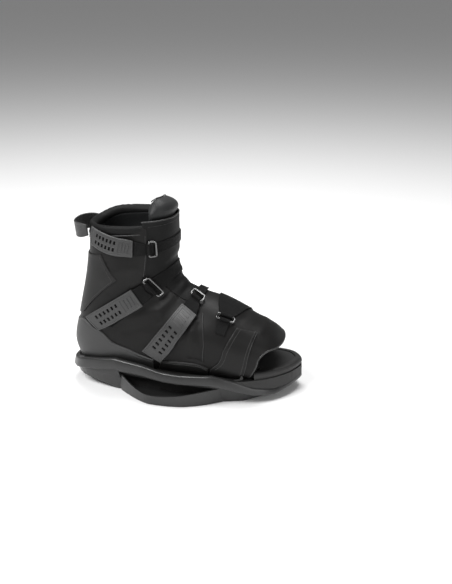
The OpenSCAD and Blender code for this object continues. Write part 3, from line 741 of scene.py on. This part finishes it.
tube("tongue_pad_piping", even(rim + unit(rim - rim.mean(0)) * 0.9, 1.2), 0.8, PIPING,
     "tongue_flap")
panel("tongue_tag", corners([[0.955, 12], [0.955, -12]], 20), corners([[0.985, 11], [0.985, -11]], 20),
      TONGUE_H - 6.1, 0.5, TAG, "tongue_flap", ["tongue_label"], step=0.8, fold=0.0,
      roll=0.3)

# ---- Overlays sewn on the upper ----

OVERLAY_Z = UPPER_Z + 2.0
BAND_REAR = [[0.2, 44], [0.212, 74], [0.223, 98], [0.238, 113], [0.244, 140]]
BAND_FRONT = [[0.142, 34], [0.15, 60], [0.158, 90], [0.166, 118], [0.172, 140]]
panel("toe_band_panel", trace(BAND_REAR, 70), trace(BAND_FRONT, 70), LAY2, OVERLAY_T, OVERLAY,
      "boot", ["toe_band"], step=1.0)
tube("band_rear_piping", on_line([[0.2, 45], *BAND_REAR[1:-1], [0.2415, 125]], LAY2 - 0.3, 1.0), 0.5,
     PIPING, "boot")
tube("band_front_piping", on_line([[0.1425, 36], *BAND_FRONT[1:-1], [0.168, 125]], LAY2 - 0.4, 1.0),
     0.5, PIPING, "boot")
SIDE_UP = [[0.246, 114], [0.27, 109], [0.31, 111], [0.362, 115.5]]
side_up = trace(SIDE_UP, 60)
panel("side_foxing", side_up, drop_to(side_up, OVERLAY_Z), LAY2, OVERLAY_T,
      OVERLAY, "boot", ["side_panel"], step=1.0)
INNER_UP = [[0.17, -118], [0.2, -104], [0.225, -96], [0.27, -108], [0.362, -118]]
inner_up = trace(INNER_UP, 70)
panel("inner_foxing", inner_up, drop_to(inner_up, OVERLAY_Z, -1), LAY2,
      OVERLAY_T, OVERLAY, "boot", ["inner_panel"], step=1.2)
CUP_HALF = [[0.379, 116], [0.42, 111], [0.455, 106], [0.5, 104], [0.575, 108], [0.645, 133],
            [0.65, 160]]
CUP_FOOT = [0.372, 0.4, 0.43, 0.46, 0.49, 0.512, 0.53]
cup_up = trace(CUP_HALF + [[0.652, 180]] + [[a, 360 - b] for a, b in CUP_HALF[::-1]], 160)
foot_s = trace([[v, 0] for v in CUP_FOOT + [0.541] + CUP_FOOT[::-1]], 160)[:, 0]
foot_t = meets(foot_s, OVERLAY_Z)
cup_low = np.stack([foot_s, np.where(np.arange(161) <= 80, foot_t, 360 - foot_t)], 1)


def cup_lift(s, t, dist):
    """A groove that runs along the cup's upper edge."""
    return 0.4 - 0.35 * np.exp(-((dist[2] - 3.2) / 1.1) ** 2)


panel("heel_cup", cup_up, cup_low, LAY2, 1.8, CUP, "boot", ["heel_counter"],
      step=1.5, fold=0.0, lift=cup_lift, roll=1.6)
SPINE_FRONT = [[0.668, 138], [0.736, 92], [0.865, 117]]
for side, name, stands in ((1, "spine_outer_panel", ["spine_lateral"]),
                           (-1, "spine_inner_panel", ["spine_medial"])):
    edge = corners(SPINE_FRONT, 90)
    last = np.stack([edge[:, 0], np.full(91, 178.6)], 1)
    panel(name, edge * [1, side], last * [1, side], LAY2 - 0.1, 1.2, SPINE, "boot",
          stands, step=1.5, fold=0.4)

# Height of the sewing over the overlays, and degrees of t as long as one unit of s
SEWN, T_PER_S = 0.12, 430
rows = []
for shift in (0.004, 0.0105):
    rows.append(on_line([[a + (0.003 if k == 0 else 0), b + T_PER_S * shift]
                         for k, (a, b) in enumerate(SIDE_UP)], LAY2 + SEWN))
    rows.append(on_line([[a, b - T_PER_S * shift] for a, b in INNER_UP], LAY2 + SEWN))
for shift, line in ((-0.0085, BAND_REAR), (0.0085, BAND_FRONT)):
    rows.append(on_line([[a + shift, b] for a, b in line[:-1]], LAY2 + SEWN))
stitches("foxing_stitches", rows, THREAD, "boot", 2.6, 1.7, 0.24)
rows = []
for side in (1, -1):
    inner = corners([[0.678, 139.5], [0.738, 96.5], [0.856, 119]], 160) * [1, side]
    rows.append(even(over(inner[:, 0], inner[:, 1], LAY2 + 0.1 + 0.4 * folds(*inner.T)), 1.0))
rows.append(on_line([[0.7, 62.6], [0.78, 63.2], [0.86, 63.4], [0.94, 64.2]], SHELL + 2.7))
rows.append(on_line([[0.52, -63], [0.66, -81], [0.78, -87], [0.9, -89], [0.94, -89]], SHELL + 0.2))
stitches("upper_stitches", rows, THREAD, "boot", 2.8, 1.8, 0.22)
rows = [on_line([[a, 60], [b, 20], [b, -30], [a, -80]], LAY2 + SEWN)
        for a, b in ((0.995, 0.996), (0.88, 0.885))]
stitches("wrap_stitches", rows, PIPING, "boot", 2.8, 1.9, 0.22)
seams = [[[0.345, -38], [0.35, -70], [0.36, -104], [0.38, -124]],
         [[0.225, -96], [0.19, -80], [0.15, -60], [0.13, -40]],
         [[0.3, 43], [0.285, 60], [0.27, 84], [0.262, 104]],
         [[0.66, 180], [0.75, 180], [0.85, 180], [0.93, 180]]]
for k, path in enumerate(seams):
    tube(f"seam_cord_{k}", on_line(path, SHELL + 0.15), 0.55, PIPING, "boot")

# ---- Straps ----

# Pairs of points on the skin, upper then lower: the ring's front and rear bars, the plate's front
# and rear ends, and the rear end of the webbing under it
TOP = [[0.897, 50], [0.803, 48], [0.905, 59.5], [0.811, 58],
       [0.922, 79], [0.834, 79], [0.993, 134], [0.908, 134], [0.97, 136], [0.892, 136]]
MID = [[0.685, 56], [0.512, 43], [0.681, 63], [0.518, 50],
       [0.668, 76], [0.538, 67], [0.648, 127], [0.576, 107], [0.64, 114], [0.552, 96]]
INSTEP = [[0.38, 13], [0.318, 18], [0.384, 22.5], [0.317, 28.5],
          [0.389, 42], [0.315, 50], [0.415, 104], [0.362, 116], [0.412, 107], [0.366, 118]]
TOE = [[0.253, 36], [0.211, 33], [0.254, 44], [0.212, 41]]


def mix(a, b, f):
    """The point at the fraction f of the way from a to b."""
    return np.asarray(a, float) + (np.asarray(b, float) - np.asarray(a, float)) * f


def wire(name, c, h, body, stands_for, bend=2.3):
    """A ring of round wire with bent corners."""
    p = [over(*c[k], h) for k in (0, 1, 3, 2)]
    line = []
    for k in range(4):
        a, b, d = p[k - 1], p[k], p[(k + 1) % 4]
        e, f = unit(a - b), unit(d - b)
        for x in np.linspace(0, 1, 7):
            line.append(b + e * bend * (1 - x) ** 2 + f * bend * x ** 2)
        for x in np.linspace(0, 1, 7)[1:-1]:
            line.append(mix(b + f * bend, d - f * bend, x))
    pts, faces = tube_parts(np.array(line), WIRE_R, sides=14, shut=True)
    return piece(name, pts, faces, STEEL, body, stands_for)


def loop_parts(a, b, h, r1, lo=0.14, hi=0.86):
    """A sewn sleeve of webbing, r1 in radius, round the bar of a ring from a to b."""
    p, q = over(*a, h), over(*b, h)
    n = unit(q - p)
    x = unit(np.cross(n, [0.2, 0.3, 0.9]))
    y = np.cross(n, x)
    ang = np.linspace(0, 2 * np.pi, 29)[:-1]
    ring = np.cos(ang)[:, None] * x + np.sin(ang)[:, None] * y
    along = [lo, lo + 0.01, lo + 0.03, *np.linspace(lo + 0.06, hi - 0.06, 8), hi - 0.03, hi - 0.01, hi]
    rad = [r1 - 0.5, r1 - 0.15, *[r1] * (len(along) - 4), r1 - 0.15, r1 - 0.5]
    outer = [mix(p, q, f) + ring * r for f, r in zip(along, rad)]
    inner = [mix(p, q, f) + ring * SLEEVE_R for f in along[::-1]]
    rings = outer + inner
    m, k = len(rings), len(ang)
    faces = ring_faces(m, k, True)
    gap = np.linalg.norm(q - p)
    round_ = np.tile(np.arange(k) * 2 * math.pi * r1 / k, m)
    high = np.repeat([f * gap for f in along + along[::-1]], k)
    return np.concatenate(rings), faces, np.stack([round_, high], 1)


def web_parts(edge_a, edge_b, high, thick):
    """Flat webbing between two lines, with a rib along each selvedge."""
    a, b = np.asarray(edge_a, float), np.asarray(edge_b, float)
    pa, pb = over(*a.T, high), over(*b.T, high)
    length = length_of((pa + pb) / 2)
    width = np.linalg.norm(pa - pb, axis=1).max()
    u, v = lines(int(length), length), lines(int(width), width)
    g = np.linspace(0, 1, len(a))
    st = blend(look_up(u, g, a), look_up(u, g, b), v)
    s, t = st[..., 0], st[..., 1]
    dist = spans(over(s, t, high))
    d = np.minimum.reduce(dist)
    side = np.minimum(dist[2], dist[3])
    h = high - 0.5 * thick * rolled(d, 0.6) + 0.18 * np.exp(-((side - 1.3) / 0.5) ** 2)
    base = high - thick + 0.3 * thick * (1 - np.clip(d / 0.6, 0, 1))
    pts, faces = closed(over(s, t, h), over(s, t, base))
    uv = np.stack([dist[0], dist[2]], -1).reshape(-1, 2)
    return pts, faces, np.concatenate([uv, uv])


def sewn(name, parts, body, stands_for):
    uv = np.concatenate([p[2] for p in parts])
    return joined(name, [p[:2] for p in parts], WEB, body, stands_for, uv)


def mark_lines(marks, size):
    """Grid lines on both sides of each mark, in millimetres, as fractions of the size."""
    return np.array([x + side * 0.16 for x in marks for side in (-1, 1)]) / size


def settle(st, goal, h):
    """Moves skin parameters until their points stand nearest to the wanted ones."""
    s, t = st[..., 0].copy(), st[..., 1].copy()
    for _ in range(6):
        p = over(s, t, h)
        a, b = (over(s + 0.001, t, h) - p) / 0.001, (over(s, t + 0.1, h) - p) / 0.1
        away = goal - p
        aa, bb, ab = (a * a).sum(-1), (b * b).sum(-1), (a * b).sum(-1)
        ga, gb = (a * away).sum(-1), (b * away).sum(-1)
        det = aa * bb - ab * ab
        s += (ga * bb - gb * ab) / det
        t += (gb * aa - ga * ab) / det
    return np.stack([s, t], -1)


def cell_faces(hole, k):
    """Faces of a plate of cells, open where hole says so; its lower points come k after the upper."""
    m = hole.shape[1]
    solid = np.pad(~hole, 1)
    faces = []
    for i, j in np.argwhere(~hole):
        a = i * (m + 1) + j
        b, e, f = a + m + 1, a + m + 2, a + 1
        faces += [[a, b, e, f], [f + k, e + k, b + k, a + k]]
        for p, q, di, dj in ((a, f, -1, 0), (e, b, 1, 0), (b, a, 0, -1), (f, e, 0, 1)):
            if not solid[i + 1 + di, j + 1 + dj]:
                faces.append([p, q, q + k, p + k])
    return faces


# Slots and ribs of the plates: fractions of the plate's length or width, then millimetres
SLOTS_AT, SLOT_ROWS = [0.4 + 0.085 * i for i in range(6)], [0.31, 0.69]
RIBS_AT = [0.09 + 0.068 * k for k in range(3)]
SLOT_LONG, SLOT_WIDE, RIB_LONG, BORDER = 5.4, 3.0, 2.4, 2.2


def slotted_plate(name, c, body, stands_for):
    """A moulded strap end: a raised border, two rows of slots, and a ribbed panel at the front."""
    hi, lo = (level(trace([c[k], mix(c[k], c[k + 2], 0.5), c[k + 2]], 60)) for k in (4, 5))
    ph, pl = over(*hi.T, PLATE_LOW), over(*lo.T, PLATE_LOW)
    length = (length_of(ph) + length_of(pl)) / 2
    width = np.linalg.norm(ph - pl, axis=1).mean()
    cut_u, cut_v = SLOT_WIDE / length, SLOT_LONG / width
    frame_u = [0.055 * length, 0.3 * length]
    frame_v = [0.17 * width, 0.83 * width]
    ribs = [x * length for x in RIBS_AT]
    rib_v = [0.26 * width, 0.74 * width]
    mu = [x + s * cut_u / 2 for x in SLOTS_AT for s in (-1, 1)]
    mv = [x + s * cut_v / 2 for x in SLOT_ROWS for s in (-1, 1)]
    beside_u = mark_lines(frame_u + [x + s for x in ribs for s in (0.0, RIB_LONG)]
                          + [BORDER, length - BORDER], length)
    beside_v = mark_lines(frame_v + rib_v + [BORDER, width - BORDER], width)
    rim_u = [x + s * 0.35 / length for x in mu for s in (-1, 1)]
    beside_u = [q for q in [*beside_u, *rim_u] if np.abs(np.array(mu) - q).min() > 0.1 / length]
    beside_v = [q for q in beside_v if np.abs(np.array(mv) - q).min() > 0.1 / width]
    u = lines(int(length / 1.3), length, [*mu, *beside_u])
    v = lines(int(width / 1.3), width, [*mv, *beside_v])
    g = np.linspace(0, 1, 61)
    # The slots stand square to the plate, so the lines of u lean with its middle
    axis = unit(ph[52] + pl[52] - ph[24] - pl[24])
    skew = (pl[38] - ph[38]) @ axis / length / 2
    shift = skew * np.interp(u, [0, 0.06, 0.34, 0.86, 1], [0, 0.6, 1, 1, 0])
    sides = [look_up(u + shift, g, hi), look_up(u - shift, g, lo)]
    goal = blend(*(over(*e.T, PLATE_LOW) for e in sides), v)
    s, t = np.moveaxis(settle(blend(*sides, v), goal, PLATE_LOW), -1, 0)
    x, y = (u * length)[:, None], (v * width)[None]
    d = np.minimum(np.minimum(x, length - x), np.minimum(y, width - y))
    h = np.full((len(u), len(v)), PLATE_LOW + PLATE_T - 0.45)
    h += 0.45 * (d < BORDER)
    h -= 0.55 * ((x > frame_u[0]) & (x < frame_u[1]) & (y > frame_v[0]) & (y < frame_v[1]))
    for r in ribs:
        h += 0.7 * ((x > r) & (x < r + RIB_LONG) & (y > rib_v[0]) & (y < rib_v[1]))
    um, vm = (u[1:] + u[:-1]) / 2, (v[1:] + v[:-1]) / 2
    near_slot = np.zeros_like(h)
    hole = np.zeros((len(um), len(vm)), bool)
    for cu in SLOTS_AT:
        for cv in SLOT_ROWS:
            away = np.maximum(np.abs(x - cu * length) - cut_u * length / 2,
                              np.abs(y - cv * width) - cut_v * width / 2)
            near_slot = np.maximum(near_slot, away < 0.1)
            hole |= (np.abs(um - cu) < cut_u / 2)[:, None] & (np.abs(vm - cv) < cut_v / 2)[None]
    h -= 0.25 * near_slot
    h -= 0.7 * rolled(d, 0.9)
    top = over(s, t, h)
    low = over(s, t, PLATE_LOW)
    faces = cell_faces(hole, h.size)
    pts = np.concatenate([top.reshape(-1, 3), low.reshape(-1, 3)])
    used = np.unique(np.array([q for f in faces for q in f]))
    where = np.full(len(pts), -1)
    where[used] = np.arange(len(used))
    way = 1 if faces_away(top, low, len(um) // 4, len(vm) // 2) else -1
    faces = [[int(where[q]) for q in f[::way]] for f in faces]
    wear = np.maximum(np.exp(-d / 0.6), 0.8 * near_slot)
    wear = np.concatenate([wear.ravel(), np.zeros(wear.size)])[used]
    ob = piece(name, pts[used], faces, PLATE, body, stands_for, edge=wear, smooth=False)
    rounded(ob, 0.00012, 2, 50)


for name, c in (("top", TOP), ("mid", MID), ("instep", INSTEP)):
    flap, buckle = name + "_flap", name + "_buckle"
    wire(name + "_wire_ring", c, RING_H, buckle, [name + "_ring"])
    wide = [trace([mix(c[2], c[3], f) + [0, 1.7], mix(c[4], c[5], g), mix(c[6], c[7], g)], 24)
            for f, g in ((0.16, 0.05), (0.84, 0.95))]
    sewn(name + "_strap_webbing",
         [loop_parts(c[2], c[3], RING_H, WIRE_R + 1.5),
          web_parts(*wide, WEB_HIGH, WEB_T)], flap, [name + "_strap"])
    slotted_plate(name + "_strap_plate", c, flap, [name + "_plate"])
    under = [trace([mix(c[2], c[3], f) + [0, 2], e], 24) for f, e in ((0.12, c[8]), (0.88, c[9]))]
    sewn(name + "_under_webbing", [web_parts(*under, LAY2 - 0.1, THIN_WEB_T)], "boot",
         [name + "_under"])
    ends = {"top": [[0.886, -70], [0.812, -70]], "mid": [[0.66, -50], [0.565, -46]],
            "instep": [mix(c[0], c[1], f) - [0, 36] for f in (0.16, 0.84)]}[name]
    tab = [level(trace([mix(c[0], c[1], f) + [0, 2.5], mix(mix(c[0], c[1], f), e, 0.5), e], 60))
           for f, e in zip((0.12, 0.88), ends)]
    sewn(name + "_tab_webbing", [web_parts(*tab, RING_H - WIRE_R - 0.2, THIN_WEB_T)], "boot",
         [name + "_tab"])

wire("toe_wire_ring", TOE, TOE_RING_H, "boot", ["toe_ring"])
flap = [trace([mix(TOE[0], TOE[1], f), e], 50) for f, e in
        ((0.16, [0.262, -76]), (0.84, [0.204, -76]))]
wider = np.sin(np.clip(np.linspace(0, 1, 51) / 0.55, 0, 1) * np.pi / 2)[:, None]
flap = [flap[0] + wider * [0.026, 0], flap[1] - wider * [0.018, 0]]
sewn("toe_strap_webbing", [loop_parts(TOE[0], TOE[1], TOE_RING_H, WIRE_R + 1.4),
                           web_parts(*flap, LAY1 + 1.7, 1.3)], "boot",
     ["toe_strap"])
tab = [trace([mix(TOE[2], TOE[3], f), e], 20) for f, e in ((0.16, [0.246, 66]), (0.84, [0.222, 66]))]
sewn("toe_tab_webbing", [loop_parts(TOE[2], TOE[3], TOE_RING_H, WIRE_R + 1.4, 0.2, 0.8),
                         web_parts(*tab, LAY1 + 1.6, 1.3)], "boot",
     ["toe_tab"])

# ---- Pull loop ----

# Its bow from above, in millimetres: depth, half width and half thickness; then the band's half
# height, the place of its root and its tilt
LOOP_DEEP, LOOP_HALF, LOOP_T, LOOP_UP = 27, 35, 1.2, 11
LOOP_ROOT, tilt = [-116, 0, 228], math.radians(-7)
ang = np.radians(np.linspace(0, 180, 61))
band = []
for r in (LOOP_T, -LOOP_T):
    band.append(np.stack([-(LOOP_DEEP + r) * np.sin(ang) ** 0.95,
                          -(LOOP_HALF + r) * spow(np.cos(ang), 0.95)], 1))
turn = np.array([[math.cos(tilt), 0, math.sin(tilt)], [0, 1, 0], [-math.sin(tilt), 0, math.cos(tilt)]])
across = np.array([-LOOP_UP, -10.6, -9.6, -8.6, -6, -3, 0, 3, 6, 8.6, 9.6, 10.6, LOOP_UP])
drop = np.array([0.9, 0.3, -0.1, 0.15, 0.1, 0.05, 0, 0.05, 0.1, 0.15, -0.1, 0.3, 0.9])
middle = (band[0] + band[1]) / 2
way = unit(band[0] - band[1])
faces_in = []
for sign in (1, -1):
    flat_line = middle[:, None] + way[:, None] * ((LOOP_T - drop) * sign)[None, :, None]
    slim = 1 - 0.3 * np.clip((np.abs(np.degrees(ang) - 90) - 50) / 40, 0, 1) ** 2
    dip = 5.5 * np.clip((np.degrees(ang) - 105) / 75, 0, 1) ** 1.5
    up = (across[None, :] * slim[:, None] - dip[:, None])[..., None]
    faces_in.append(np.concatenate([flat_line, up], -1) @ turn.T + LOOP_ROOT)
pts, faces = closed(*faces_in)
uv = np.stack(np.meshgrid(reach(middle), across + LOOP_UP, indexing="ij"), -1).reshape(-1, 2)
piece("heel_pull_loop", pts, faces, LOOP, "pull_loop", ["heel_loop"],
      np.concatenate([uv, uv]))
for side, name in ((1, "outer"), (-1, "inner")):
    a, b = (corners([[s, 139 * side], [s, 153 * side]], 12) for s in (0.925, 0.975))
    panel(f"loop_anchor_{name}", a, b, LAY2, OVERLAY_T, PLATE, "boot",
          ["loop_anchors"] if side > 0 else [], step=0.9, fold=0.0)

# ---- Chassis trim ----

# The rail's outline from above, and the heights of its upper and lower edge along x
RAIL = np.array([[-151, 0], [-148, -18], [-134, -36], [-108, -47], [-78, -54], [-37, -60], [-7, -64],
                 [20, -66], [64, -66], [99, -57], [122, -47], [143, -32], [162, -9], [172, 14],
                 [174, 27], [169, 38], [160, 48], [146, 54], [124, 57], [99, 59], [64, 61], [20, 60],
                 [-7, 58], [-37, 56], [-78, 51], [-108, 45], [-134, 35], [-148, 18]], float)
TOP_LINE = np.array([[-156, 31], [-140, 36], [-128, 41], [-78, 49], [-37, 45], [-7, 39], [20, 38],
                     [64, 41], [78, 38], [95, 33], [120, 22], [146, 16], [160, 17], [180, 21]], float)
LOW_LINE = np.array([[-156, 20], [-140, 22], [-128, 25], [-78, 33.5], [-37, 30], [-7, 25.5],
                     [20, 24.5], [64, 26.5], [78, 25], [95, 19.5], [120, 11.5], [146, 8.6],
                     [160, 12.5], [180, 17]], float)
k = len(RAIL)
ring = np.concatenate([[curve4(*(RAIL[(i + q) % k] for q in (-1, 0, 1, 2)), f)
                        for f in np.arange(8) / 8] for i in range(k)])
away = unit(np.roll(ring, -1, 0) - np.roll(ring, 1, 0))
away = np.stack([-away[:, 1], away[:, 0]], 1)
away *= np.sign((away * (ring - [10, 0])).sum(1))[:, None]
# The band's outer and inner face: fractions of its height, and millimetres out from the outline
PROFILE = [(0.0, 0.2), (0.0, 1.4), (0.05, 2.5), (0.12, 2.9), (0.2, 2.85), (0.84, 1.1), (0.93, 0.7),
           (0.985, -0.6), (1.02, -2.2), (1.03, -3.6), (1.01, -4.8)]
INSIDE = [(0.97, -4.8), (0.97, -3.0), (0.9, 0.15), (0.3, 0.15)]
WORN = [0.5, 0.8, 1, 0.8, 0.3, 0, 0.4, 1, 0.6, 0.2, 0, 0, 0, 0, 0]
high = np.interp(ring[:, 0], *TOP_LINE.T)
lowz = np.interp(ring[:, 0], *LOW_LINE.T)
fade = np.clip((171 - ring[:, 0]) / 30, 0.12, 1)[:, None]


def rail_row(up, out, lift):
    """One line of the band, all the way round the rail."""
    return np.concatenate([ring + away * out, (lowz + (high - lowz) * up + lift)[:, None]], 1)


rows = np.array([rail_row(up, out * fade, 0.15) for up, out in PROFILE]
                + [rail_row(up, out, 0.0) for up, out in INSIDE])
m, k = rows.shape[:2]
faces = ring_faces(m, k, True)
side = np.cross(rows[4, 1] - rows[4, 0], rows[5, 0] - rows[4, 0])[:2] @ away[0]
faces = faces if side > 0 else [f[::-1] for f in faces]
piece("rail_trim", rows.reshape(-1, 3), faces, RAILS, "boot", edge=np.repeat(WORN, k))

# ---- Carried-over CAD pieces ----

# These keep their CAD shape and get a finish
HARD = {"chassis": RAILS, "sole_grips": RUBBER, "sole_screws": SCREW, "midsole": FOAM,
        "footbed": BED, "counter_rivet": STEEL, "washer_lateral": RAILS, "washer_medial": RAILS}
for name, finish in HARD.items():
    ob = nodes[name]
    ob.data.materials.clear()
    ob.data.materials.append(finish)
    if name in ("chassis", "midsole", "footbed"):
        weld = ob.modifiers.new("weld", "WELD")
        weld.merge_threshold = 0.00002
        rounded(ob, 0.0007, 3, 38)

low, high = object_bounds()
